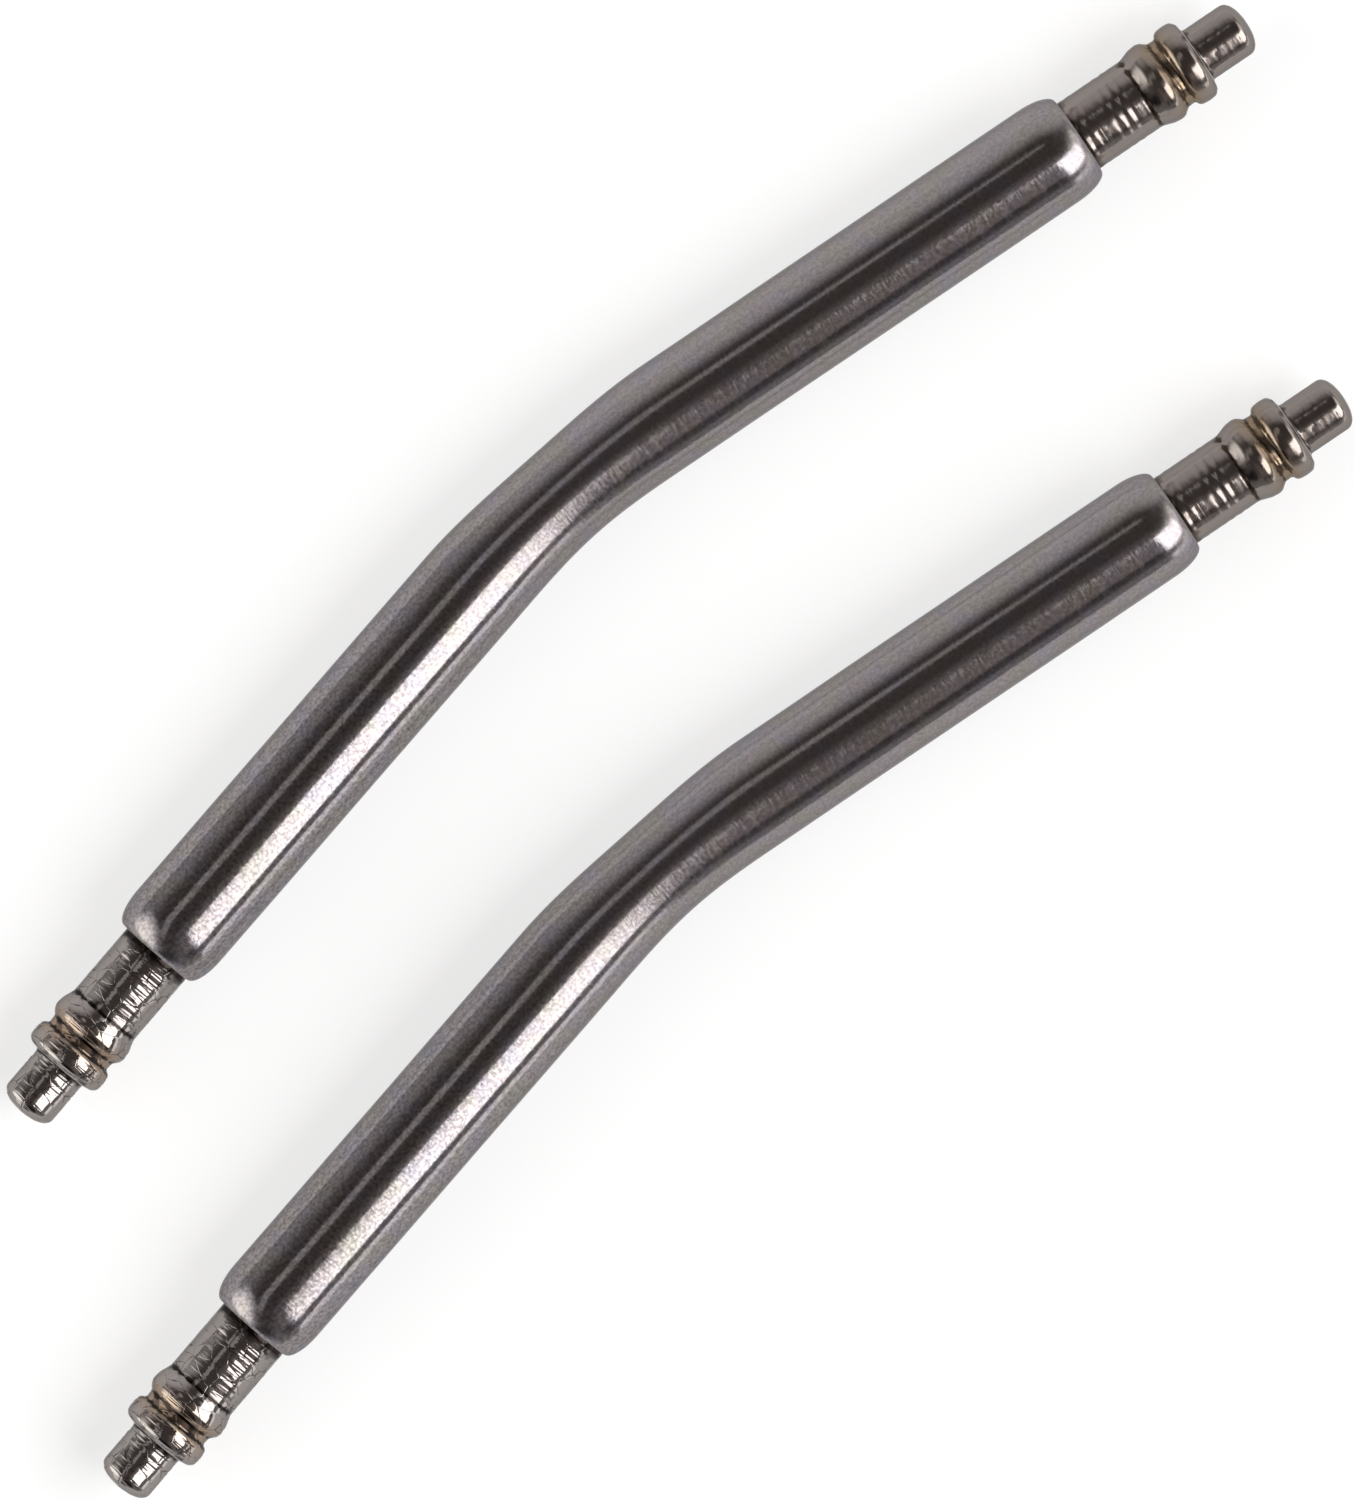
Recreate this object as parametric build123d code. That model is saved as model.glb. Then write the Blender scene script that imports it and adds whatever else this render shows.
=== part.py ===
"""A pair of curved, double-flanged watch spring bars, lying side by side on their sides.

Each bar is a thin steel tube with a shallow bend pressed into its middle. Its two ends are rolled in
over the heads of two turned pistons, which one long coil spring inside the tube pushes apart.
Every piston carries an inner flange, a groove for the removal tool, an outer flange and the thin pin
that enters the hole in a watch lug.

The frame stands on the table: +X runs along the bars' chord, +Y is the side the bend bulges to and
+Z is up. The origin is on the table, under the middle of the pair. Sizes are in millimetres.
"""

from math import cos, pi, radians, sin, sqrt, tan
import os

from build123d import *

# tube
tube_diameter = 1.80
tube_wall = 0.15
tube_half_length = 10.23  # from the point where the two straight legs' axes cross to the rolled end
bend_angle = 15.0
bend_radius = 17.65
pressed_share = 0.075  # how much narrower the press leaves the tube at the middle of the bend
bend_sections = 9

# rolled end of the tube
lip_round_length = 0.59
lip_face_width = 0.02
lip_land_length = 0.12
lip_cone_length = 0.30

# piston, from the tube's mouth outwards
exposed_shaft_length = 1.24
inner_flange_height = 0.085  # above the shaft
inner_flange_step = 0.0075  # how much lower it is than the outer flange
inner_flange_ramp = 0.20
inner_flange_land = 0.27
inner_flange_round = 0.08
groove_depth = 0.0925  # from the outer flange down to the groove's floor
groove_width = 0.20
outer_flange_diameter = 1.445
outer_flange_width = 0.43
outer_flange_round = 0.09
pin_diameter = 0.956
pin_length = 1.02
pin_dome_height = 0.19
pin_edge_round = 0.06

# piston, from the tube's mouth inwards
head_length = 0.76
head_round = 0.05
spigot_length = 0.50
spigot_round = 0.08

# spring
wire_diameter = 0.20
coil_pitch = 0.645
arc_pairs_per_turn = 4
samples_per_turn = 48  # points on which the gap between the turns is measured

# fits
mouth_clearance = 0.02  # shaft in the rolled mouth, on the radius
bore_clearance = 0.02  # piston head in the bore, on the radius
seat_clearance = 0.02  # piston head behind the rolled end, along the axis
spring_clearance = 0.02  # end of the coil to the piston head, along the axis
coil_clearance = 0.06  # coil in the pressed part of the bore, on the radius
spigot_clearance = 0.08  # spigot in the coil, on the radius
press_clearance = 0.09  # inner flange to the tube's mouth, with the piston pressed right in

# layout of the pair
second_bar_back = 2.89  # how far the second bar lies behind the first along X
second_bar_aside = 5.66  # and how far to its side along Y

half_bend = radians(bend_angle / 2)
tube_radius = tube_diameter / 2
bore_radius = tube_radius - tube_wall
outer_flange_radius = outer_flange_diameter / 2
inner_flange_radius = outer_flange_radius - inner_flange_step
groove_radius = outer_flange_radius - groove_depth
shaft_radius = inner_flange_radius - inner_flange_height
mouth_radius = shaft_radius + mouth_clearance
head_radius = bore_radius - bore_clearance
pin_radius = pin_diameter / 2
wire_radius = wire_diameter / 2
pressed_depth = tube_radius * pressed_share
coil_radius = bore_radius - pressed_depth - coil_clearance - wire_radius  # to the middle of the wire
spigot_radius = coil_radius - wire_radius - spigot_clearance

tangent_length = bend_radius * tan(half_bend)  # from the crossing of the axes to each end of the bend
bend_depth = bend_radius * (1 / cos(half_bend) - 1)
bend_half_arc = bend_radius * half_bend
bend_centre = Vector(0, -bend_radius / cos(half_bend), 0)

# places along a piston, measured outwards from the tube's mouth
inner_flange_start = exposed_shaft_length
inner_flange_full = inner_flange_start + inner_flange_ramp
groove_start = inner_flange_full + inner_flange_land
groove_end = groove_start + groove_width
outer_flange_end = groove_end + outer_flange_width
pin_shoulder = outer_flange_end + pin_length - pin_dome_height
pin_end = outer_flange_end + pin_length
cone_top = -(lip_land_length + seat_clearance)
cone_foot = cone_top - lip_cone_length
head_back = cone_foot - head_length
spigot_end = head_back - spigot_length

press_travel = exposed_shaft_length - press_clearance
coil_end = bend_half_arc + tube_half_length - tangent_length + head_back - spring_clearance
coil_half_length = coil_end - wire_radius  # to the middle of the wire, along the bar's middle line


def bulge(share):
    """How deep the press goes at this share of the half bend from its middle, from 1 there to 0 at its end."""
    return cos(share * pi / 2) ** 2


def to_right_leg(shape):
    """Places a shape made along +X, from the crossing of the axes, on the right leg's axis."""
    return Rot(Z=-bend_angle / 2) * shape


def to_left_leg(shape):
    """Places a shape made along +X on the left leg's axis."""
    return Rot(Z=180 + bend_angle / 2) * shape


def bend_solid(radius):
    """The bent middle of a bar of this radius, narrowed in the plane of the bend where it was pressed."""
    sections = []
    for number in range(bend_sections):
        share = 2 * number / (bend_sections - 1) - 1
        angle = share * half_bend
        outwards = Vector(sin(angle), cos(angle), 0)
        along = Vector(cos(angle), -sin(angle), 0)
        narrowed = radius - pressed_depth * bulge(share)
        section = Plane(bend_centre + outwards * bend_radius, x_dir=(0, 0, 1), z_dir=along)
        sections.append(section * Ellipse(radius, narrowed))
    return loft(sections)


def tube_leg():
    """One straight leg of the tube, with its rolled end, along +X."""
    mouth = tube_half_length
    round_start = mouth - lip_round_length
    lip_radius = mouth_radius + lip_face_width
    with BuildPart() as leg:
        with BuildSketch(Plane.XY):
            with BuildLine():
                Line((tangent_length, bore_radius), (tangent_length, tube_radius))
                Line((tangent_length, tube_radius), (round_start, tube_radius))
                EllipticalCenterArc((round_start, lip_radius), lip_round_length, tube_radius - lip_radius)
                Line((mouth, lip_radius), (mouth, mouth_radius))
                Line((mouth, mouth_radius), (mouth - lip_land_length, mouth_radius))
                Line(
                    (mouth - lip_land_length, mouth_radius),
                    (mouth - lip_land_length - lip_cone_length, bore_radius),
                )
                Line((mouth - lip_land_length - lip_cone_length, bore_radius), (tangent_length, bore_radius))
            make_face()
        revolve(axis=Axis.X)
    return leg.part


def tube():
    """The bent tube with both of its ends rolled in."""
    middle = bend_solid(tube_radius) - bend_solid(bore_radius)
    leg = tube_leg()
    return middle + to_right_leg(leg) + to_left_leg(leg)


def dome_point(start, radius):
    """A point half way round the pin's dome, which is part of a ball through its edge and its tip."""
    height = pin_end - start
    ball = (radius**2 + height**2) / (2 * height)
    x = start + height / 2
    return (x, sqrt(ball**2 - (x - pin_end + ball) ** 2))


def piston():
    """One turned piston along +X, with x = 0 at the tube's mouth."""
    dome_radius = pin_radius - pin_edge_round
    dome_start = pin_shoulder + pin_edge_round
    corners = [  # place along the axis, radius there, and how far the corner is rounded
        (spigot_end, spigot_radius, spigot_round),
        (head_back, spigot_radius, 0),
        (head_back, head_radius, head_round),
        (cone_foot, head_radius, 0),
        (cone_top, shaft_radius, 0),
        (inner_flange_start, shaft_radius, 0),
        (inner_flange_full, inner_flange_radius, inner_flange_round),
        (groove_start, inner_flange_radius, inner_flange_round),
        (groove_start, groove_radius, 0),
        (groove_end, groove_radius, 0),
        (groove_end, outer_flange_radius, outer_flange_round),
        (outer_flange_end, outer_flange_radius, outer_flange_round),
        (outer_flange_end, pin_radius, 0),
    ]
    outline = [(spigot_end, 0), *[(x, radius) for x, radius, _ in corners], (pin_shoulder, pin_radius)]
    with BuildPart() as turned:
        with BuildSketch(Plane.XY):
            with BuildLine():
                FilletPolyline(*outline, radius=[rounding for _, _, rounding in corners])
                CenterArc((pin_shoulder, dome_radius), pin_edge_round, 0, 90)
                ThreePointArc(
                    (dome_start, dome_radius),
                    dome_point(dome_start, dome_radius),
                    (pin_end, 0),
                )
                Line((pin_end, 0), (spigot_end, 0))
            make_face()
        revolve(axis=Axis.X)
    return turned.part


def path_frame(distance):
    """The point, direction and outward normal of the bar's middle line, this far from the bend's middle."""
    beyond = max(abs(distance) - bend_half_arc, 0)
    side = 1 if distance > 0 else -1
    angle = side * min(abs(distance), bend_half_arc) / bend_radius
    along = Vector(cos(angle), -sin(angle), 0)
    outwards = Vector(sin(angle), cos(angle), 0)
    return bend_centre + outwards * bend_radius + along * (side * beyond), along, outwards


def coil_point(distance):
    """The point and direction of the coil's wire where it has gone this far along the bar's middle line."""
    place, along, outwards = path_frame(distance)
    turn = 2 * pi * distance / coil_pitch
    curvature = 1 / bend_radius if abs(distance) < bend_half_arc else 0
    point = place + outwards * (coil_radius * cos(turn)) + Vector(0, 0, coil_radius * sin(turn))
    forwards = along * (1 + coil_radius * cos(turn) * curvature)
    around = Vector(0, 0, cos(turn)) - outwards * sin(turn)
    return point, (forwards + around * (2 * pi * coil_radius / coil_pitch)).normalized()


def tangent_arcs(start, start_direction, end, end_direction):
    """Two arcs that leave one point and reach the other in the given directions, and meet smoothly."""
    gap = end - start
    both = start_direction + end_direction
    spread = 2 * (1 - start_direction.dot(end_direction))
    reach = (sqrt(gap.dot(both) ** 2 + spread * gap.dot(gap)) - gap.dot(both)) / spread
    before = start + start_direction * reach
    after = end - end_direction * reach
    middle = (before + after) / 2
    return [
        Edge.make_tangent_arc(start, start_direction, middle),
        Edge.make_tangent_arc(middle, (after - before).normalized(), end),
    ]


def spring():
    """The coil spring, cut from open-wound stock, along the bar's bent middle line."""
    pairs = round(coil_half_length * 2 / coil_pitch * arc_pairs_per_turn)
    step = coil_half_length * 2 / pairs
    places = [coil_point(number * step - coil_half_length) for number in range(pairs + 1)]
    arcs = []
    for (start, start_direction), (end, end_direction) in zip(places, places[1:]):
        arcs += tangent_arcs(start, start_direction, end, end_direction)
    first_point, first_direction = places[0]
    section = Plane(first_point, z_dir=first_direction) * Circle(wire_radius)
    return sweep(section, path=Wire(arcs))


def least_coil_gap():
    """The least space between one turn of the coil and the next, measured on points along it."""
    half_count = int(coil_half_length / coil_pitch * samples_per_turn)
    spacing = coil_pitch / samples_per_turn
    points = [coil_point(number * spacing)[0] for number in range(-half_count, half_count)]
    gaps = []
    for number, point in enumerate(points):
        beside = points[number + samples_per_turn // 2 : number + samples_per_turn * 2]
        gaps += [(point - other).length - wire_diameter for other in beside]
    return min(gaps)


def write(shape, node, place):
    """Writes one node of the pair."""
    export_step(Pos(place) * shape, f"parts/{node}.step")


os.makedirs("parts", exist_ok=True)

bar_top = tube_radius - pressed_depth - bend_depth
rim_end = tube_half_length + outer_flange_end - outer_flange_round
rim_radius = outer_flange_radius - outer_flange_round
bar_low = rim_end * sin(half_bend) + rim_radius * cos(half_bend) + outer_flange_round
pair_middle = (bar_top - bar_low - second_bar_aside) / 2
first_place = Vector(second_bar_back / 2, -pair_middle, tube_radius)
second_place = first_place - Vector(second_bar_back, second_bar_aside, 0)

bent_tube = tube()
coil = spring()
turned_piston = Pos(tube_half_length, 0, 0) * piston()
print("least gap between the coil's turns", round(least_coil_gap(), 3))

for bar, place in (("first", first_place), ("second", second_place)):
    write(bent_tube, f"{bar}_tube", place)
    write(coil, f"{bar}_spring", place)
    write(to_left_leg(turned_piston), f"{bar}_left_piston", place)
    write(to_right_leg(turned_piston), f"{bar}_right_piston", place)
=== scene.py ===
import math
import random

import bmesh
import bpy
from mathutils import Matrix, Vector, noise


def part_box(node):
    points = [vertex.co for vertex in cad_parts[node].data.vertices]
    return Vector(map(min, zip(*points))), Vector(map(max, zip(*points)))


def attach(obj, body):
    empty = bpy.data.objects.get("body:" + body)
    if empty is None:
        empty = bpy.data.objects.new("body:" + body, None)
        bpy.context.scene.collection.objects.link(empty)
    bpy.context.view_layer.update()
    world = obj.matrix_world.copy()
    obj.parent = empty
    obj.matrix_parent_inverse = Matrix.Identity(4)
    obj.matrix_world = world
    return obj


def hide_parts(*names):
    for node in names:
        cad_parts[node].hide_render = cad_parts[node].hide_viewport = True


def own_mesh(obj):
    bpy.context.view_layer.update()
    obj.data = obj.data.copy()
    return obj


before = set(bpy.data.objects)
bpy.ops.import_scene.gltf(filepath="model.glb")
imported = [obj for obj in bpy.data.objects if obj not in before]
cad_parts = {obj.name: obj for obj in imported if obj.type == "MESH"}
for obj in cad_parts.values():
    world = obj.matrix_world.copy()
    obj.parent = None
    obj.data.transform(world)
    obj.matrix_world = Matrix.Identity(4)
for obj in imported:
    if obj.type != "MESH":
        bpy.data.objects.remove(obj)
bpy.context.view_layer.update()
mm = 0.001  # meshes are modelled in millimetres and brought to metres at the end
mergeDistance = 1e-5
sharpAngle = math.radians(50)

# what every piece of a bar follows, in millimetres
bar = {
    "tubeRadius": 0.90,
    "boreRadius": 0.75,
    "legLength": 10.23,  # from the crossing of the legs' axes to the mouth
    "bendAngle": math.radians(15.0),
    "bendRadius": 17.65,
    "pressedDepth": 0.0675,  # narrowing on each side at the middle of the bend
}
halfBend = bar["bendAngle"] / 2
bendHalfArc = bar["bendRadius"] * halfBend
legStart = bar["bendRadius"] * math.tan(halfBend)  # from the crossing of the axes to the bend's end
crossingRadius = bar["bendRadius"] / math.cos(halfBend)  # from the bend's centre to the crossing
mouthPlace = bendHalfArc + bar["legLength"] - legStart  # along the middle line, from its middle


def barPlace(name):
    # where the axes of a bar's legs cross, in metres, read from the frame
    low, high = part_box(name + "_tube")
    # the box ends at the pressed outside of the bend
    top = bar["tubeRadius"] - bar["pressedDepth"] - (crossingRadius - bar["bendRadius"])
    return Vector(((low[0] + high[0]) / 2, high[1] - top * mm, (low[2] + high[2]) / 2))


# nodes and colours
def hexColour(text):
    channels = [int(text[i:i + 2], 16) / 255 for i in (1, 3, 5)]
    return (*[c / 12.92 if c <= 0.04045 else ((c + 0.055) / 1.055) ** 2.4 for c in channels], 1.0)


def addNode(material, kind, inputs=None, **settings):
    node = material.node_tree.nodes.new(kind)
    for name, value in settings.items():
        setattr(node, name, value)
    for name, value in (inputs or {}).items():
        if isinstance(value, bpy.types.NodeSocket):
            material.node_tree.links.new(value, node.inputs[name])
        else:
            node.inputs[name].default_value = value
    return node


def emptyNodes(holder):
    holder.use_nodes = True
    holder.node_tree.nodes.clear()
    return holder


# meshes
def chain(points):
    # a profile in the XY plane, as one chain of edges
    bm = bmesh.new()
    verts = [bm.verts.new((x, r, 0)) for x, r in points]
    for a, b in zip(verts, verts[1:]):
        bm.edges.new((a, b))
    return bm, verts


def refine(bm, spacing, hiddenSpacing, hiddenBefore):
    # cuts the long edges of a profile, and less finely where it lies inside the tube
    for edge in list(bm.edges):
        hidden = max(vert.co.x for vert in edge.verts) <= hiddenBefore
        cuts = int(edge.calc_length() / (hiddenSpacing if hidden else spacing))
        if cuts:
            bmesh.ops.subdivide_edges(bm, edges=[edge], cuts=cuts)


def turn(bm, steps):
    # a full turn of the profile about X
    bmesh.ops.spin(bm, geom=bm.verts[:] + bm.edges[:], cent=(0, 0, 0), axis=(1, 0, 0), dvec=(0, 0, 0),
                   angle=math.tau, steps=steps, use_merge=True)
    bmesh.ops.remove_doubles(bm, verts=bm.verts, dist=mergeDistance)
    bmesh.ops.recalc_face_normals(bm, faces=bm.faces)
    bm.normal_update()


def keepStraightPlace(bm, shift=0):
    # each point's place before bending, in millimetres, for patterns that follow the metal
    layer = bm.verts.layers.float_vector.new("straightPlace")
    for vert in bm.verts:
        vert[layer] = vert.co + Vector((0, shift, 0))


def ontoBend(bm):
    # lays a piece made straight along X round the bend and on down both legs
    for vert in bm.verts:
        s, y, z = vert.co
        onBend = max(-bendHalfArc, min(bendHalfArc, s))
        angle = onBend / bar["bendRadius"]
        pressed = bar["pressedDepth"] * math.cos(onBend / bendHalfArc * math.pi / 2) ** 2
        away = math.hypot(y, z)
        if away > bar["boreRadius"] - bar["pressedDepth"]:
            y *= 1 - pressed / away
        along = Vector((math.cos(angle), -math.sin(angle), 0))
        outward = Vector((math.sin(angle), math.cos(angle), 0))
        middle = outward * bar["bendRadius"] - Vector((0, crossingRadius, 0))
        vert.co = middle + along * (s - onBend) + outward * y + Vector((0, 0, z))


def finishMesh(shape, name, place, material, body):
    # a copy of the shape, brought to metres and to its bar
    bm = shape.copy()
    bmesh.ops.transform(bm, matrix=Matrix.Translation(place) @ Matrix.Scale(mm, 4), verts=bm.verts)
    mesh = bpy.data.meshes.new(name)
    bm.to_mesh(mesh)
    bm.free()
    mesh.polygons.foreach_set("use_smooth", [True] * len(mesh.polygons))
    mesh.set_sharp_from_angle(angle=sharpAngle)
    mesh.materials.append(material)
    piece = bpy.data.objects.new(name, mesh)
    # the photograph shows one picture twice, so neither bar shows in the other
    piece.visible_glossy = False
    bpy.context.collection.objects.link(piece)
    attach(piece, body)
    return piece


# tube
tubeShape = {
    "lipRoundLength": 0.59,  # of the rolled end, a quarter of an ellipse
    "lipRadius": 0.69,
    "mouthRadius": 0.68,
    "landLength": 0.12,
    "coneLength": 0.30,
    "roundSteps": 16,
    "ringSpacing": 0.12,
    "girthSteps": 144,
    "unevenness": 0.004,  # of the drawn wall, on the radius
    "unevenLength": 2.2,  # over which it comes and goes
    "endShift": {"left": -0.12, "right": 0.06},  # the bend was pressed a little off the middle
}


def makeTube():
    shape = tubeShape
    roundStart = mouthPlace - shape["lipRoundLength"]
    landEnd = mouthPlace - shape["landLength"]
    outside = [(0, bar["tubeRadius"])]
    for step in range(shape["roundSteps"] + 1):
        angle = step / shape["roundSteps"] * math.pi / 2
        outside.append((roundStart + shape["lipRoundLength"] * math.sin(angle),
                        shape["lipRadius"] + (bar["tubeRadius"] - shape["lipRadius"]) * math.cos(angle)))
    inside = [(mouthPlace, shape["mouthRadius"]), (landEnd, shape["mouthRadius"]),
              (landEnd - shape["coneLength"], bar["boreRadius"]), (0, bar["boreRadius"])]
    bm, _ = chain(outside + inside)
    bmesh.ops.mirror(bm, geom=bm.verts[:] + bm.edges[:], axis="X", merge_dist=mergeDistance)
    refine(bm, shape["ringSpacing"], shape["ringSpacing"], 0)
    turn(bm, shape["girthSteps"])
    keepStraightPlace(bm)
    for vert in bm.verts:
        swell = shape["unevenness"] * noise.noise(vert.co / shape["unevenLength"])
        vert.co.yz *= 1 + swell / vert.co.yz.length
        vert.co.x *= 1 + shape["endShift"]["right" if vert.co.x > 0 else "left"] / mouthPlace
    ontoBend(bm)
    return bm


# pistons
pistonShape = {
    "corners": [  # place from the mouth, radius and rounding
        (-1.70, 0.0, 0),
        (-1.70, 0.3425, 0.08),
        (-1.20, 0.3425, 0),
        (-1.20, 0.73, 0.05),
        (-0.44, 0.73, 0),
        (-0.14, 0.64, 0),
        (1.26, 0.64, 0.02),
        (1.46, 0.710, 0.04),
        (1.60, 0.725, 0.03),
        (1.68, 0.706, 0.03),
        (1.785, 0.618, 0.03),
        (1.92, 0.612, 0.03),
        (1.965, 0.69, 0.03),
        (2.02, 0.717, 0.03),
        (2.17, 0.728, 0.05),
        (2.28, 0.712, 0.04),
        (2.345, 0.64, 0.03),
        (2.38, 0.478, 0.03),
    ],
    "domeStart": 3.10,
    "domeEnd": 3.345,
    "domeSteps": 18,
    "domeSquareness": 2.3,  # 2 is an ellipse
    "roundSteps": 8,
    # how each piston sits in its mouth: further out, off the axis and leaning
    "seat": {"left": (-0.045, 0.026, math.radians(0.5)), "right": (0.05, 0, 0)},
    "patternShift": {"left": 5, "right": 0},  # keeps the two pistons' steel from being marked alike
    "girthSteps": 96,
    "ringSpacing": 0.0125,
    "hiddenSpacing": 0.12,
}
# the rings that the lathe tool left; their places are counted along the axis less the radius, so that they
# also run over the flat sides of the flanges
turning = {
    "feed": 0.165,  # from one ring to the next
    "chatter": 0.4,  # length over which the rings come and go
    "wear": (0.55, 1.5),  # the share of their height that is left, and how far it varies
    "wearSize": 0.3,  # of the worn patches on the left piston
    "rippleHeight": {"left": 0.0014, "right": 0.0032},
    "finerFrom": 0.40,  # the flanges and the pin were finished more finely than the shaft
    "finerShare": {"left": 0.8, "right": 0.4},
    "cuts": {"left": 46, "right": 10},
    "cutPlaces": (-0.8, 3.2),
    "cutDepth": {"left": (0.001, 0.009), "right": (0.0004, 0.0018)},
    "cutWidth": (0.008, 0.02),
    "cutReach": 3,  # in widths from the middle of a cut
    "smoothTip": 0.02,  # radius about the axis that carries no rings
}


def turningCuts(side):
    # scattered deeper cuts: place, depth and width
    depths, widths = turning["cutDepth"][side], turning["cutWidth"]
    return [(random.uniform(*turning["cutPlaces"]), random.uniform(*depths), random.uniform(*widths))
            for _ in range(turning["cuts"][side])]


def shareLeft(place):
    mean, swing = turning["wear"]
    return max(mean + swing * noise.noise(place), 0)


def ringDepth(place, side, cuts):
    chatter = shareLeft(Vector((place / turning["chatter"], len(side), 0)))
    depth = turning["rippleHeight"][side] * chatter * math.cos(math.tau * place / turning["feed"])
    if place > turning["finerFrom"]:
        depth *= turning["finerShare"][side]
    for middle, cut, width in cuts:
        if abs(place - middle) < width * turning["cutReach"]:
            depth += cut * math.exp(-((place - middle) / width) ** 2)
    return depth


def makePiston(side):
    shape = pistonShape
    cuts = turningCuts(side)
    depths = {}  # of the rings met so far
    corners = shape["corners"]
    pinRadius = corners[-1][1]
    points = [(x, r) for x, r, _ in corners]
    domeLength = shape["domeEnd"] - shape["domeStart"]
    power = 2 / shape["domeSquareness"]
    for step in range(shape["domeSteps"] + 1):
        angle = step / shape["domeSteps"] * math.pi / 2
        points.append((shape["domeStart"] + domeLength * math.sin(angle) ** power,
                       pinRadius * max(math.cos(angle), 0) ** power))
    bm, verts = chain(points)
    for vert, (_, _, rounding) in zip(verts, corners):
        if rounding:
            bmesh.ops.bevel(bm, geom=[vert], offset=rounding, offset_type="OFFSET",
                            segments=shape["roundSteps"], profile=0.5, affect="VERTICES", material=-1)
    refine(bm, shape["ringSpacing"], shape["hiddenSpacing"], 0)
    turn(bm, shape["girthSteps"])
    keepStraightPlace(bm, shape["patternShift"][side])
    for vert in bm.verts:
        radius = vert.co.yz.length
        if vert.co.x > 0 and radius > turning["smoothTip"]:
            ring = round(vert.co.x - radius, 4)  # one place for all points of a ring
            if ring not in depths:
                depths[ring] = ringDepth(ring, side, cuts)
            share = shareLeft(vert.co / turning["wearSize"]) if side == "left" else 1
            vert.co -= vert.normal * depths[ring] * share
    legTurn = -halfBend if side == "right" else math.pi + halfBend
    out, aside, lean = shape["seat"][side]
    bmesh.ops.rotate(bm, verts=bm.verts, cent=(0, 0, 0), matrix=Matrix.Rotation(lean, 3, "Z"))
    bmesh.ops.translate(bm, verts=bm.verts, vec=(bar["legLength"] + out, aside, 0))
    bmesh.ops.rotate(bm, verts=bm.verts, cent=(0, 0, 0), matrix=Matrix.Rotation(legTurn, 3, "Z"))
    return bm


# springs
springShape = {
    "wireRadius": 0.10,
    "coilRadius": 0.5225,  # to the middle of the wire
    "pitch": 0.645,
    "endGap": 1.22,  # from the mouth back to the coil's end
    "wireSides": 10,
    "turnSteps": 24,
    "travel": 1.15,  # of a piston
}


def makeCoil(start, end):
    # a stretch of the coil between two places along the middle line
    shape = springShape
    startAngle = math.tau * start / shape["pitch"]
    lead = math.atan2(shape["pitch"], math.tau * shape["coilRadius"])
    bm = bmesh.new()
    bmesh.ops.create_circle(bm, cap_ends=False, segments=shape["wireSides"], radius=shape["wireRadius"])
    stand = (Matrix.Translation((start, 0, 0)) @ Matrix.Rotation(startAngle, 4, "X")
             @ Matrix.Translation((0, shape["coilRadius"], 0)) @ Matrix.Rotation(lead, 4, "Y"))
    bmesh.ops.transform(bm, matrix=stand, verts=bm.verts)
    turns = (end - start) / shape["pitch"]
    steps = round(turns * shape["turnSteps"])
    bmesh.ops.spin(bm, geom=bm.verts[:] + bm.edges[:], cent=(0, 0, 0), axis=(1, 0, 0),
                   dvec=((end - start) / steps, 0, 0), angle=math.tau * turns, steps=steps, use_merge=False)
    bmesh.ops.holes_fill(bm, edges=bm.edges, sides=shape["wireSides"])
    bmesh.ops.recalc_face_normals(bm, faces=bm.faces)
    keepStraightPlace(bm)
    ontoBend(bm)
    return bm


def makeSprings():
    coilEnd = mouthPlace - springShape["endGap"] - springShape["wireRadius"]
    return {"left": makeCoil(-coilEnd, -bendHalfArc), "bend": makeCoil(-bendHalfArc, bendHalfArc),
            "right": makeCoil(bendHalfArc, coilEnd)}


def putSpring(name, place, springs, material):
    # the stretch round the bend takes the place of the frame's spring, which is hidden, and the one in each
    # leg gets a mesh of its own
    for part, shape in springs.items():
        piece = finishMesh(shape, f"{name}_spring_{part}", place, material, "tubes")
        if part == "bend":
            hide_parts(name + "_spring")
            continue
        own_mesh(piece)


# steels
edgeTint = "#c8c8c8"  # a metal's edges reflect a little less than white
noiseSpan = (0.35, 0.65)  # where most of a noise lies
tubeFinish = {  # sizes and depths in millimetres
    "marksAlong": 0.05,
    "marksRound": 0.30,
    "markDepth": 0.0005,
    "grainSize": 0.06,
    "grainDepth": 0.0006,
    "grainSpan": (0.3, 0.7),
    "grainShade": (-0.18, 0.16),
    "grainFrom": 1.0,  # place along the middle line from which the grain shows more towards the left end
    "grainFull": -5.0,
    "grainMore": 2.2,
    "cloudSize": 0.5,
    "cloudTints": ((0.36, "#878388"), (0.5, "#8a8384"), (0.64, "#88847f")),
    "rough": (0.09, 0.16),
    "lipFrom": 0.55,  # distance from the mouth at which the rolled lip begins
    "lipFull": 0.2,
    "lipRougher": 0.13,
    "bendFrom": 4.0,  # distance from the middle at which the press began to dull it
    "bendFull": 0.6,
    "bendRougher": 0.03,
}


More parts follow.
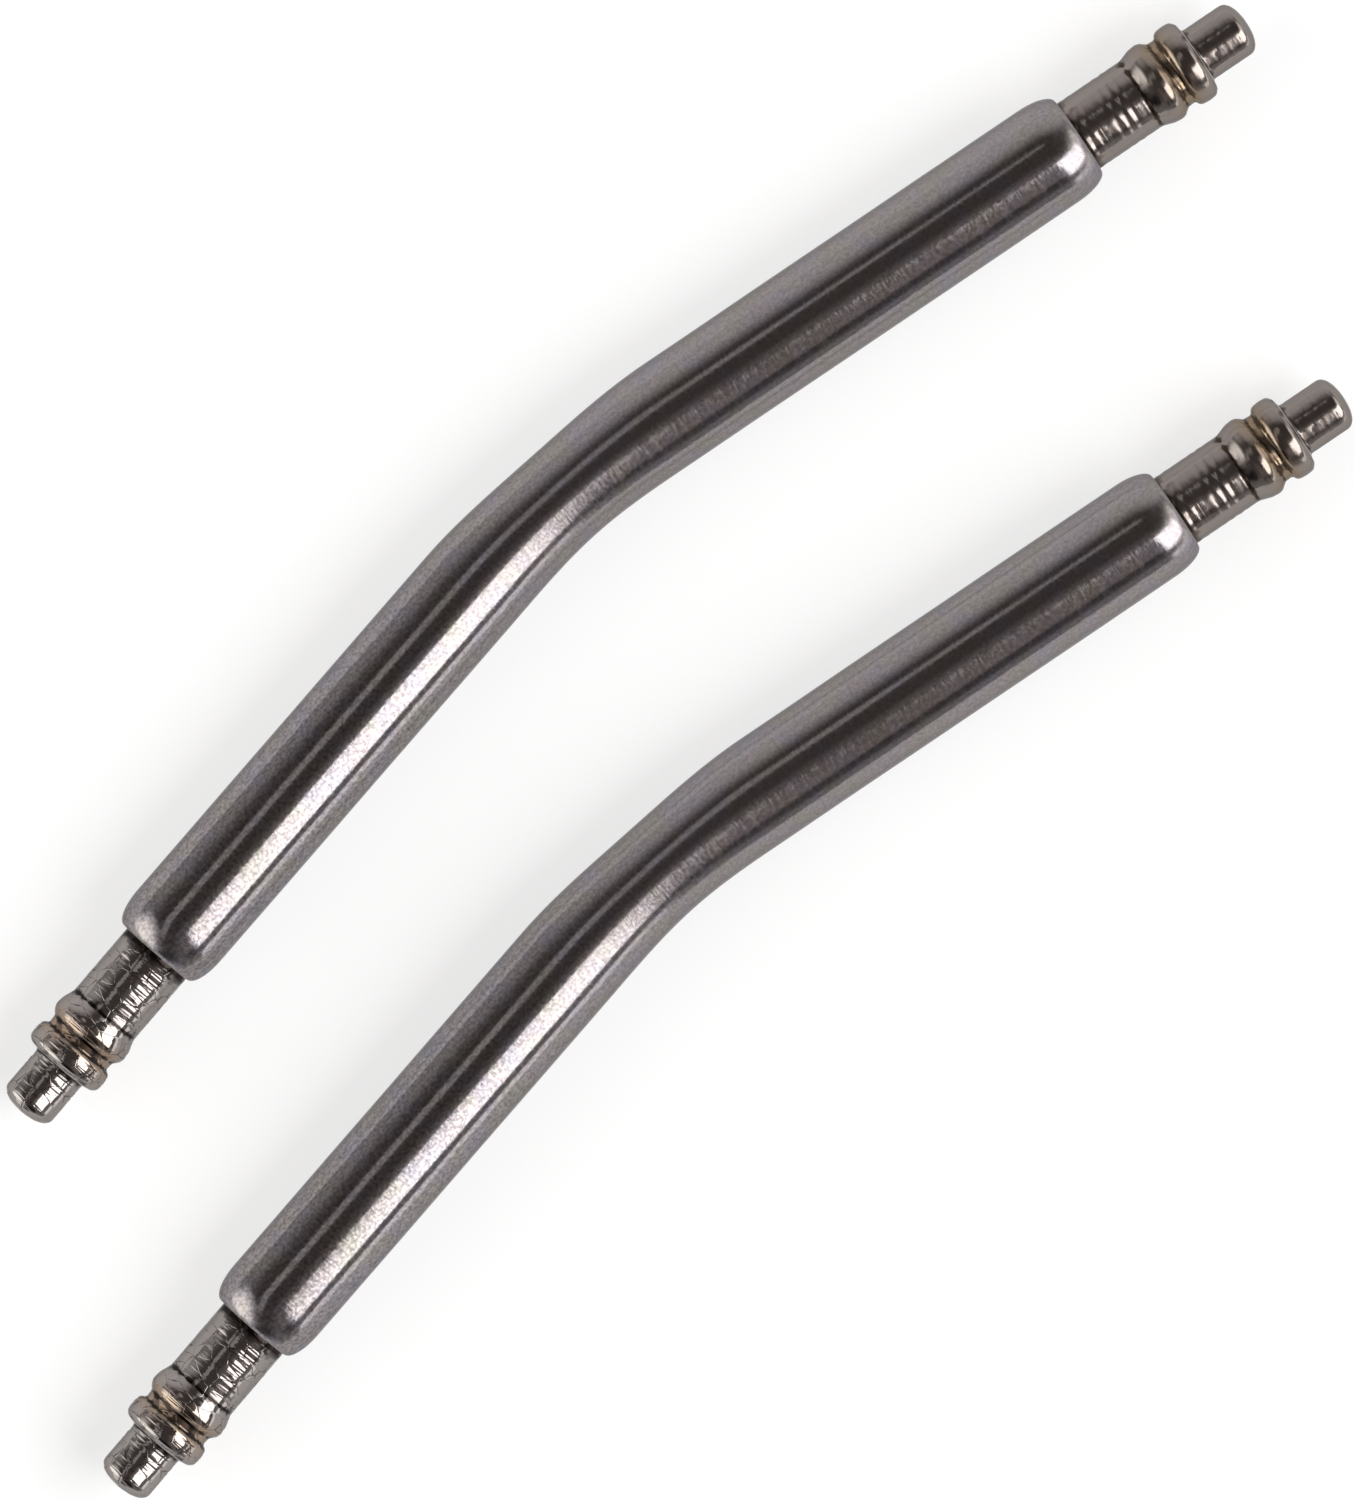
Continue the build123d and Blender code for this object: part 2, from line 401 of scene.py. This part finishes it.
def makeTubeSteel():
    # stainless tube, drawn and then ground round its girth: bright, with short fine marks round the tube that
    # break the edges of its reflections, and cloudy patches from the tumbling barrel
    finish = tubeFinish
    material = emptyNodes(bpy.data.materials.new("groundStainlessTube"))
    place = addNode(material, "ShaderNodeAttribute", attribute_name="straightPlace").outputs["Vector"]
    perRound = 1 / finish["marksRound"]
    stretched = addNode(material, "ShaderNodeMapping", {
        "Vector": place, "Scale": (1 / finish["marksAlong"], perRound, perRound)})
    grinding = addNode(material, "ShaderNodeTexNoise", {
        "Vector": stretched.outputs[0], "Scale": 1.0, "Detail": 3.0})
    grain = addNode(material, "ShaderNodeTexNoise", {
        "Vector": place, "Scale": 1 / finish["grainSize"], "Detail": 3.0})
    clouds = addNode(material, "ShaderNodeTexNoise", {
        "Vector": place, "Scale": 1 / finish["cloudSize"], "Detail": 4.0})
    rough = addNode(material, "ShaderNodeMapRange", {
        "Value": grinding.outputs["Fac"], "From Min": noiseSpan[0], "From Max": noiseSpan[1],
        "To Min": finish["rough"][0], "To Max": finish["rough"][1]})
    # the rolled lips are duller, as the rolling tool left them
    along = addNode(material, "ShaderNodeSeparateXYZ", {"Vector": place}).outputs["X"]
    fromMiddle = addNode(material, "ShaderNodeMath", {0: along}, operation="ABSOLUTE")
    dull = addNode(material, "ShaderNodeMapRange", {
        "Value": fromMiddle.outputs[0], "From Min": mouthPlace - finish["lipFrom"],
        "From Max": mouthPlace - finish["lipFull"], "To Max": finish["lipRougher"]})
    rough = addNode(material, "ShaderNodeMath", {0: rough.outputs["Result"], 1: dull.outputs["Result"]})
    # and so is the bend, from the press
    dull = addNode(material, "ShaderNodeMapRange", {
        "Value": fromMiddle.outputs[0], "From Min": finish["bendFrom"], "From Max": finish["bendFull"],
        "To Max": finish["bendRougher"]})
    rough = addNode(material, "ShaderNodeMath", {0: rough.outputs[0], 1: dull.outputs["Result"]})
    tint = addNode(material, "ShaderNodeValToRGB", {"Fac": clouds.outputs["Fac"]})
    (low, lowTint), (middle, middleTint), (high, highTint) = finish["cloudTints"]
    tint.color_ramp.elements[0].position = low
    tint.color_ramp.elements[0].color = hexColour(lowTint)
    tint.color_ramp.elements[1].position = high
    tint.color_ramp.elements[1].color = hexColour(highTint)
    tint.color_ramp.elements.new(middle).color = hexColour(middleTint)
    contrast = addNode(material, "ShaderNodeMapRange", {
        "Value": along, "From Min": finish["grainFrom"], "From Max": finish["grainFull"],
        "To Min": 1.0, "To Max": finish["grainMore"]})
    speck = addNode(material, "ShaderNodeMapRange", {
        "Value": grain.outputs["Fac"],
        "From Min": finish["grainSpan"][0], "From Max": finish["grainSpan"][1],
        "To Min": finish["grainShade"][0], "To Max": finish["grainShade"][1]})
    speck = addNode(material, "ShaderNodeMath", {
        0: speck.outputs["Result"], 1: contrast.outputs["Result"], 2: 1.0}, operation="MULTIPLY_ADD")
    colour = addNode(material, "ShaderNodeVectorMath", {
        0: tint.outputs["Color"], "Scale": speck.outputs[0]}, operation="SCALE")
    first = addNode(material, "ShaderNodeBump", {
        "Height": grinding.outputs["Fac"], "Strength": 1.0, "Distance": finish["markDepth"] * mm})
    second = addNode(material, "ShaderNodeBump", {
        "Height": grain.outputs["Fac"], "Strength": 1.0, "Distance": finish["grainDepth"] * mm,
        "Normal": first.outputs["Normal"]})
    steel = addNode(material, "ShaderNodeBsdfPrincipled", {
        "Base Color": colour.outputs["Vector"], "Metallic": 1.0, "Roughness": rough.outputs[0],
        "Specular Tint": hexColour(edgeTint), "Normal": second.outputs["Normal"]})
    addNode(material, "ShaderNodeOutputMaterial", {"Surface": steel.outputs[0]})
    return material


pistonFinish = {  # sizes in millimetres, and places from the mouth
    "cloudSize": 0.3,
    "poreSize": 0.07,
    "poreSpan": (0.66, 0.72),  # only the peaks of the noise are pores
    "poreTint": "#5a524c",
    "raggedSize": 0.16,
    "marksAlong": 0.07,
    "marksRound": 0.6,
    "plateSize": (0.22, 0.36, 0.36),  # of the crazed plating, along and across
    "crackWidth": (0.02, 0.13),  # in shares of a plate
    "crackSpan": (0.48, 0.62),  # of the ragged noise, from the finest cracks to the widest
    "crackPaintedShade": 0.35,  # how far up a crack's side the painted shade reaches
    "straw": ((1.4, 0.1), (1.6, 0.4), (1.72, 1.0), (1.95, 1.0), (2.05, 0.4), (2.3, 0.1)),
    "strawElsewhere": 0.1,
    "strawStrength": 1.6,
    "strawEnd": 4.0,  # of the ramp along the piston
    "paintedShadeCorners": (1.24, 1.78, 1.93, 2.37),  # corners where shade is painted, beside the flanges and at the groove's edges
    "cornerReach": (0.26, -0.08),  # of that painted shade: the ragged noise times the first, plus the second
    "cornerStrength": 1.4,
    "mouthReach": (0.62, -0.16),
}
plating = {
    # the left end's plating has crazed into small hard plates, the right end's has stayed whole; the left's
    # paler, more neutral tint and the right's darker, warmer tint and straw are painted light, the same steel
    # coloured as each end was lit
    # each end's near-black colour is painted shade, laid along the cracks, in the corners and at the mouth
    "left": {"tint": "#908b89", "straw": "#95806c", "paintedShade": "#2a2523", "rough": (0.06, 0.12),
             "crackDepth": 0.0016, "crackDark": 0.9, "plateTilt": 0.13, "pores": 1.0, "toolMarks": 0.003,
             "dents": 0.003},
    "right": {"tint": "#867f7c", "straw": "#85725a", "paintedShade": "#3f342b", "rough": (0.12, 0.22),
              "crackDepth": 0.0, "crackDark": 0.0, "plateTilt": 0.0, "pores": 0.15, "toolMarks": 0.0014,
              "dents": 0.005},
}


def makePistonSteel(side):
    # free-cutting stainless, turned and then plated: ragged tool marks round it, fine cracks where the
    # plating has crazed, dark pores, a straw tint in and about the groove, where it is thin, and painted
    # shade along the cracks, in the corners and at the mouth
    shared, finish = pistonFinish, plating[side]
    material = emptyNodes(bpy.data.materials.new(side + "TurnedPlatedStainless"))
    place = addNode(material, "ShaderNodeAttribute", attribute_name="straightPlace").outputs["Vector"]
    along = addNode(material, "ShaderNodeSeparateXYZ", {"Vector": place}).outputs["X"]
    clouds = addNode(material, "ShaderNodeTexNoise", {
        "Vector": place, "Scale": 1 / shared["cloudSize"], "Detail": 4.0})
    ragged = addNode(material, "ShaderNodeTexNoise", {
        "Vector": place, "Scale": 1 / shared["raggedSize"], "Detail": 1.5})
    # straw tint
    tintPlaces = addNode(material, "ShaderNodeMapRange", {"Value": along, "From Max": shared["strawEnd"]})
    straw = addNode(material, "ShaderNodeValToRGB", {"Fac": tintPlaces.outputs["Result"]})
    for position, value in shared["straw"]:
        element = straw.color_ramp.elements.new(position / shared["strawEnd"])
        element.color = (value, value, value, 1)
    value = shared["strawElsewhere"]
    for element in (straw.color_ramp.elements[0], straw.color_ramp.elements[-1]):
        element.color = (value, value, value, 1)
    share = addNode(material, "ShaderNodeMath", {
        0: straw.outputs["Color"], 1: clouds.outputs["Fac"]}, operation="MULTIPLY")
    share = addNode(material, "ShaderNodeMath", {
        0: share.outputs[0], 1: shared["strawStrength"]}, operation="MULTIPLY", use_clamp=True)
    tint = addNode(material, "ShaderNodeMix", {
        "Factor": share.outputs[0], "A": hexColour(finish["tint"]), "B": hexColour(finish["straw"])},
        data_type="RGBA")
    # pores
    pores = addNode(material, "ShaderNodeTexNoise", {
        "Vector": place, "Scale": 1 / shared["poreSize"], "Detail": 2.0})
    pore = addNode(material, "ShaderNodeMapRange", {
        "Value": pores.outputs["Fac"], "From Min": shared["poreSpan"][0], "From Max": shared["poreSpan"][1],
        "To Max": finish["pores"]})
    colour = addNode(material, "ShaderNodeMix", {
        "Factor": pore.outputs["Result"], "A": tint.outputs["Result"], "B": hexColour(shared["poreTint"])},
        data_type="RGBA")
    # each plate leans its own way, so that it takes up or misses a lamp as a whole
    placed = addNode(material, "ShaderNodeVectorMath", {0: place, 1: shared["plateSize"]}, operation="DIVIDE")
    cells = addNode(material, "ShaderNodeTexVoronoi", {"Vector": placed.outputs[0], "Scale": 1.0})
    fromMiddle = addNode(material, "ShaderNodeVectorMath", {
        0: placed.outputs[0], 1: cells.outputs["Position"]}, operation="SUBTRACT")
    fromMiddle = addNode(material, "ShaderNodeVectorMath", {
        0: fromMiddle.outputs[0], 1: shared["plateSize"]}, operation="MULTIPLY")
    leaning = addNode(material, "ShaderNodeVectorMath", {
        0: cells.outputs["Color"], 1: (0.5, 0.5, 0.5)}, operation="SUBTRACT")
    leaning = addNode(material, "ShaderNodeVectorMath", {
        0: leaning.outputs[0], 1: fromMiddle.outputs[0]}, operation="DOT_PRODUCT")
    cracks = addNode(material, "ShaderNodeTexVoronoi", {
        "Vector": placed.outputs[0], "Scale": 1.0}, feature="DISTANCE_TO_EDGE")
    crackWidth = addNode(material, "ShaderNodeMapRange", {
        "Value": ragged.outputs["Fac"],
        "From Min": shared["crackSpan"][0], "From Max": shared["crackSpan"][1],
        "To Min": shared["crackWidth"][0], "To Max": shared["crackWidth"][1]})
    plate = addNode(material, "ShaderNodeMapRange", {
        "Value": cracks.outputs["Distance"], "From Max": crackWidth.outputs["Result"]})
    # painted shade, with its reach kept from falling below nought, where it would cover everything
    nearest = None
    for corner in shared["paintedShadeCorners"]:
        off = addNode(material, "ShaderNodeMath", {0: along, 1: corner}, operation="SUBTRACT").outputs[0]
        off = addNode(material, "ShaderNodeMath", {0: off}, operation="ABSOLUTE").outputs[0]
        if nearest:
            off = addNode(material, "ShaderNodeMath", {0: nearest, 1: off}, operation="MINIMUM").outputs[0]
        nearest = off
    cornerReach, mouthReach = [addNode(material, "ShaderNodeMath", {
        0: ragged.outputs["Fac"], 1: shared[name][0], 2: shared[name][1]}, operation="MULTIPLY_ADD",
        use_clamp=True) for name in ("cornerReach", "mouthReach")]
    # painted shade in the corners of the groove and beside the flanges, where shade falls
    cornerPaintedShade = addNode(material, "ShaderNodeMapRange", {
        "Value": nearest, "From Min": cornerReach.outputs[0], "From Max": 0.0,
        "To Max": shared["cornerStrength"]})
    # painted shade on the shaft beside the mouth, where the tube shades it
    mouthPaintedShade = addNode(material, "ShaderNodeMapRange", {
        "Value": along, "From Min": mouthReach.outputs[0], "From Max": 0.0})
    # painted shade along the cracks, as much as crackDark
    crackPaintedShade = addNode(material, "ShaderNodeMapRange", {
        "Value": plate.outputs["Result"], "From Min": shared["crackPaintedShade"], "From Max": 0.0,
        "To Max": finish["crackDark"]})
    # the painted shade at the mouth, in the corners and along the cracks, taken together and mixed over the
    # steel's colour
    paintedShade = addNode(material, "ShaderNodeMath", {
        0: mouthPaintedShade.outputs["Result"], 1: cornerPaintedShade.outputs["Result"]}, operation="MAXIMUM", use_clamp=True)
    paintedShade = addNode(material, "ShaderNodeMath", {
        0: paintedShade.outputs[0], 1: crackPaintedShade.outputs["Result"]}, operation="MAXIMUM")
    colourWithPaintedShade = addNode(material, "ShaderNodeMix", {
        "Factor": paintedShade.outputs[0], "A": colour.outputs["Result"], "B": hexColour(finish["paintedShade"])},
        data_type="RGBA")
    # roughness and relief
    rough = addNode(material, "ShaderNodeMapRange", {
        "Value": ragged.outputs["Fac"], "From Min": noiseSpan[0], "From Max": noiseSpan[1],
        "To Min": finish["rough"][0], "To Max": finish["rough"][1]})
    perRound = 1 / shared["marksRound"]
    stretched = addNode(material, "ShaderNodeMapping", {
        "Vector": place, "Scale": (1 / shared["marksAlong"], perRound, perRound)})
    toolMarks = addNode(material, "ShaderNodeTexNoise", {
        "Vector": stretched.outputs[0], "Scale": 1.0, "Detail": 1.0})
    relief = addNode(material, "ShaderNodeBump", {
        "Height": toolMarks.outputs["Fac"], "Strength": 1.0, "Distance": finish["toolMarks"] * mm})
    layers = [(ragged.outputs["Fac"], finish["dents"]), (plate.outputs["Result"], finish["crackDepth"])]
    if finish["plateTilt"]:
        layers.append((leaning.outputs["Value"], finish["plateTilt"]))
    for height, depth in layers:
        relief = addNode(material, "ShaderNodeBump", {
            "Height": height, "Strength": 1.0, "Distance": depth * mm, "Normal": relief.outputs["Normal"]})
    steel = addNode(material, "ShaderNodeBsdfPrincipled", {
        "Base Color": colourWithPaintedShade.outputs["Result"], "Metallic": 1.0, "Roughness": rough.outputs["Result"],
        "Specular Tint": hexColour(edgeTint), "Normal": relief.outputs["Normal"]})
    addNode(material, "ShaderNodeOutputMaterial", {"Surface": steel.outputs[0]})
    return material


springFinish = {"bloomSize": 0.15, "tints": ("#84807c", "#9c9894"), "rough": (0.22, 0.45)}


def makeSpringSteel():
    # cold drawn spring wire: duller and greyer than the turned parts, with a faint bloom of drawing soap
    finish = springFinish
    material = emptyNodes(bpy.data.materials.new("drawnSpringWire"))
    place = addNode(material, "ShaderNodeAttribute", attribute_name="straightPlace").outputs["Vector"]
    bloom = addNode(material, "ShaderNodeTexNoise", {
        "Vector": place, "Scale": 1 / finish["bloomSize"], "Detail": 4.0})
    dark, pale = finish["tints"]
    tint = addNode(material, "ShaderNodeMix", {
        "Factor": bloom.outputs["Fac"], "A": hexColour(dark), "B": hexColour(pale)}, data_type="RGBA")
    rough = addNode(material, "ShaderNodeMapRange", {
        "Value": bloom.outputs["Fac"], "To Min": finish["rough"][0], "To Max": finish["rough"][1]})
    steel = addNode(material, "ShaderNodeBsdfPrincipled", {
        "Base Color": tint.outputs["Result"], "Metallic": 1.0, "Roughness": rough.outputs["Result"]})
    addNode(material, "ShaderNodeOutputMaterial", {"Surface": steel.outputs[0]})
    return material


# studio: azimuths are counted from +X towards +Y and zenith angles from straight up, in degrees
studio = {
    "photoPixelsPerMm": 60.9,
    "photoSize": (1354, 1500),
    "crossingPixel": (559.0, 487.2),  # where the axes of the first bar's legs cross in the photograph
    "chordTilt": math.radians(41.56),  # of the bars above the photograph's horizontal
    "lens": 400.0,
    "sensorWidth": 36.0,
    "clip": (0.01, 10.0),  # nearest and furthest that the camera sees, in metres
    "floorRadius": 3.0,
    "floorSides": 96,
    "floorColour": "#acacac",
    "floorLift": 0.62,  # brings the lit floor up to white
    "sky": [  # height on the unit sky, brightness and tint
        (0.0, 0.42, (1, 0.98, 1)),
        (0.42, 0.32, (1, 0.97, 0.98)),
        (0.61, 0.19, (1, 0.93, 0.93)),
        (0.80, 0.118, (1, 0.88, 0.85)),
    ],
    # azimuth and zenith angle of the point that faces the bars, distance, width, height and how far the
    # middle lies beside that point, in metres, and radiance
    "softboxes": {
        "keySoftbox": (-87.1, 43.4, 1.08, 1.14, 0.804, 0.57, 4.6),
        "lowSoftbox": (-88.5, 86.2, 1.00, 1.50, 0.272, 0.75, 1.6),
        "lineLight": (123.8, 21.4, 1.00, 0.71, 0.200, -0.01, 0.48),
    },
    # azimuth, zenith angle, inner and outer radius in degrees, radiance, which is below nought for a black
    # flag, and tint
    "glows": [
        (-84, 19, 3, 15, 0.11, (1, 0.95, 0.93)),
        (-76, 19, 2, 6, 0.17, (1, 0.97, 0.95)),
        (-98, 42, 4, 20, 0.19, (1, 0.86, 0.82)),
        (-98, 66, 3, 12, -0.20, (1, 1, 1)),
        (60, 80, 14, 46, 0.58, (1, 0.98, 1)),
        (147, 73, 12, 42, 2.8, (1, 1, 0.97)),
        (-12, 62, 5, 30, 1.7, (1, 0.97, 0.95)),
        (208, 66, 8, 24, -0.35, (1, 1, 1)),
    ],
    "darkest": (0.02, 0.02, 0.02),  # the flags leave this much of the walls
}


def towards(azimuth, zenith):
    a, z = math.radians(azimuth), math.radians(zenith)
    return Vector((math.sin(z) * math.cos(a), math.sin(z) * math.sin(a), math.cos(z)))


def makeCamera():
    crossing = barPlace("first")
    right, down = [(size / 2 - pixel) / studio["photoPixelsPerMm"] * mm
                   for size, pixel in zip(studio["photoSize"], studio["crossingPixel"])]
    tilt = studio["chordTilt"]
    data = bpy.data.cameras.new("camera")
    data.lens = studio["lens"]
    data.sensor_width = studio["sensorWidth"]
    data.clip_start, data.clip_end = studio["clip"]
    camera = bpy.data.objects.new("camera", data)
    bpy.context.collection.objects.link(camera)
    distance = studio["photoSize"][1] / studio["photoPixelsPerMm"] * mm * data.lens / data.sensor_width
    camera.location = crossing + Vector((right * math.cos(tilt) - down * math.sin(tilt),
                                         -right * math.sin(tilt) - down * math.cos(tilt), distance))
    camera.rotation_euler = (0, 0, -tilt)
    bpy.context.scene.camera = camera


def makeSoftbox(name, azimuth, zenith, distance, width, height, aside, radiance):
    data = bpy.data.lights.new(name, "AREA")
    data.shape = "RECTANGLE"
    data.size, data.size_y = width, height
    data.energy = radiance * math.pi * width * height
    lamp = bpy.data.objects.new(name, data)
    bpy.context.collection.objects.link(lamp)
    lamp.rotation_mode = "QUATERNION"
    lamp.rotation_quaternion = towards(azimuth, zenith).to_track_quat("Z", "Y")
    lamp.location = lamp.rotation_quaternion @ Vector((aside, 0, distance))
    return lamp


def makeFloor():
    bm = bmesh.new()
    bmesh.ops.create_circle(bm, cap_ends=True, segments=studio["floorSides"],
                            radius=studio["floorRadius"])
    mesh = bpy.data.meshes.new("floor")
    bm.to_mesh(mesh)
    bm.free()
    floor = bpy.data.objects.new("floor", mesh)
    bpy.context.collection.objects.link(floor)
    # matt white studio sheet; what the camera, metal and glass see of it is lifted to white, and its shadows
    # stay
    material = emptyNodes(bpy.data.materials.new("mattWhiteSheet"))
    matt = addNode(material, "ShaderNodeBsdfDiffuse", {"Color": hexColour(studio["floorColour"])})
    path = addNode(material, "ShaderNodeLightPath")
    seen = addNode(material, "ShaderNodeMath", {
        0: path.outputs["Is Camera Ray"], 1: path.outputs["Is Glossy Ray"]}, operation="MAXIMUM")
    seen = addNode(material, "ShaderNodeMath", {
        0: seen.outputs[0], 1: path.outputs["Is Transmission Ray"]}, operation="MAXIMUM")
    lift = addNode(material, "ShaderNodeMath", {
        0: seen.outputs[0], 1: studio["floorLift"]}, operation="MULTIPLY")
    glow = addNode(material, "ShaderNodeEmission", {"Strength": lift.outputs[0]})
    both = addNode(material, "ShaderNodeAddShader", {0: matt.outputs[0], 1: glow.outputs[0]})
    addNode(material, "ShaderNodeOutputMaterial", {"Surface": both.outputs[0]})
    mesh.materials.append(material)
    return floor


def makeWorld():
    # a dim ceiling that pales towards the horizon, with soft glows where white walls catch the lamps
    world = emptyNodes(bpy.data.worlds.new("studio"))
    bpy.context.scene.world = world
    direction = addNode(world, "ShaderNodeTexCoord").outputs["Generated"]
    height = addNode(world, "ShaderNodeSeparateXYZ", {"Vector": direction})
    sky = addNode(world, "ShaderNodeValToRGB", {"Fac": height.outputs["Z"]})
    sky.color_ramp.elements.remove(sky.color_ramp.elements[0])
    for place, brightness, shade in studio["sky"]:
        stop = sky.color_ramp.elements.new(place)
        stop.color = (*[brightness * share for share in shade], 1)
    sky.color_ramp.elements.remove(sky.color_ramp.elements[-1])
    total = sky.outputs["Color"]
    for azimuth, zenith, inner, outer, radiance, shade in studio["glows"]:
        near = addNode(world, "ShaderNodeVectorMath", {
            0: direction, 1: towards(azimuth, zenith)}, operation="DOT_PRODUCT")
        glow = addNode(world, "ShaderNodeMapRange", {
            "Value": near.outputs["Value"], "From Min": math.cos(math.radians(outer)),
            "From Max": math.cos(math.radians(inner)), "To Min": 0.0, "To Max": radiance},
            interpolation_type="SMOOTHSTEP")
        total = addNode(world, "ShaderNodeVectorMath", {
            0: shade, 1: glow.outputs["Result"], 2: total}, operation="MULTIPLY_ADD").outputs["Vector"]
    total = addNode(world, "ShaderNodeVectorMath", {0: total, 1: studio["darkest"]}, operation="MAXIMUM")
    light = addNode(world, "ShaderNodeBackground", {"Color": total.outputs["Vector"], "Strength": 1.0})
    addNode(world, "ShaderNodeOutputWorld", {"Surface": light.outputs[0]})


def makeStudio():
    makeCamera()
    floor = makeFloor()
    makeWorld()
    lamps = {name: makeSoftbox(name, *softbox) for name, softbox in studio["softboxes"].items()}
    # nor does either bar stand in the other's low light
    blockers = bpy.data.collections.new("lowSoftboxBlockers")
    blockers.objects.link(floor)
    lamps["lowSoftbox"].light_linking.blocker_collection = blockers
    bpy.context.scene.view_settings.view_transform = "Standard"


# building
random.seed(24)
tubeSteel, springSteel = makeTubeSteel(), makeSpringSteel()
pistonSteels = {side: makePistonSteel(side) for side in plating}
tubeBend, springs = makeTube(), makeSprings()
pistons = {side: makePiston(side) for side in plating}
print("shaped the pieces of a bar")

for barName in ("first", "second"):
    where = barPlace(barName)
    shell = finishMesh(tubeBend, barName + "_tube_shell", where, tubeSteel, "tubes")
    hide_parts(barName + "_tube")
    putSpring(barName, where, springs, springSteel)
    for side, shape in pistons.items():
        node = f"{barName}_{side}_piston"
        piece = finishMesh(shape, node + "_turned", where, pistonSteels[side], node)
        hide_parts(node)
    print("placed the", barName, "bar")
makeStudio()
print("made the studio")
